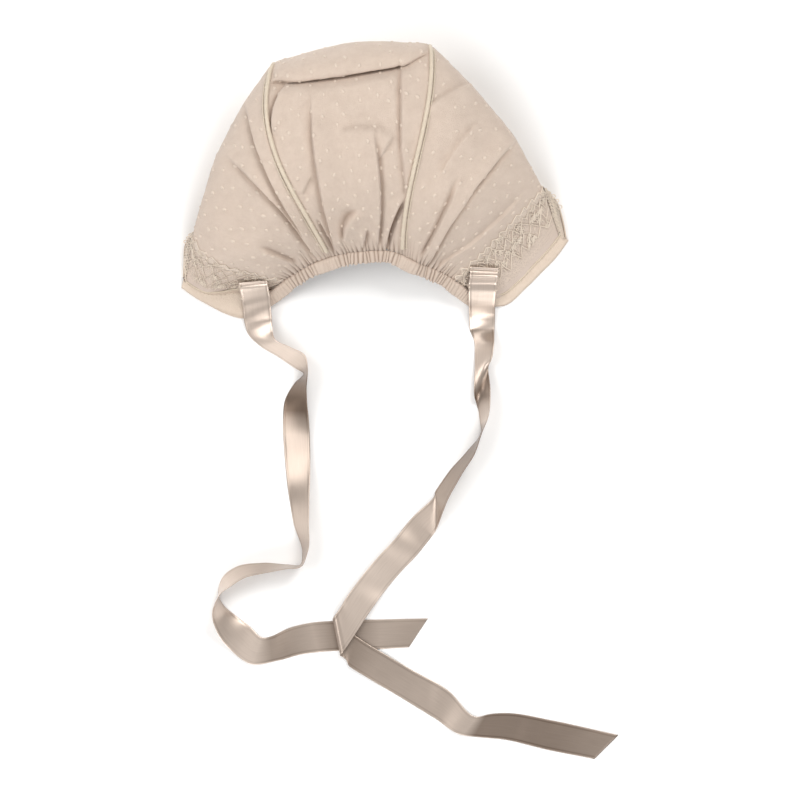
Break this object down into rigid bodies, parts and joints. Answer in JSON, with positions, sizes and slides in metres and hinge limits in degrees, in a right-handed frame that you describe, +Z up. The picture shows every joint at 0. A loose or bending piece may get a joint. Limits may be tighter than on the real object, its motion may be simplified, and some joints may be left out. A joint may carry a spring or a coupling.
{
  "type": "baby bonnet",
  "caption": "Soft cotton baby bonnet of gathered panels with an elastic neck edge, lace corners and long satin ribbon ties.",
  "frame": {"origin": "on the surface the bonnet lies on, at the middle of the box of the whole part with its ties", "axes": "+Z up out of the back of the bonnet, +Y from the ties towards the top of the head, +X to the right seen from above"},
  "size_m": [0.2347, 0.3845, 0.0633],
  "materials": {
    "cotton": "ivory cotton with small raised woven dots",
    "piping": "cream corded satin piping",
    "lace": "fine net with raised cream embroidery",
    "binding": "peach cream bias binding",
    "satin": "glossy champagne satin ribbon"
  },
  "bodies": {
    "root": {"crown_panel": "cotton", "side_panel_left": "cotton", "side_panel_right": "cotton", "piping_left": "piping", "piping_right": "piping", "neck_casing": "cotton", "front_band": "lace", "front_binding": "binding", "lace_corner_left": "lace", "lace_corner_right": "lace", "neck_binding_left": "binding", "neck_binding_right": "binding", "tie_left": "satin", "tie_right": "satin"}
  },
  "joints": []
}
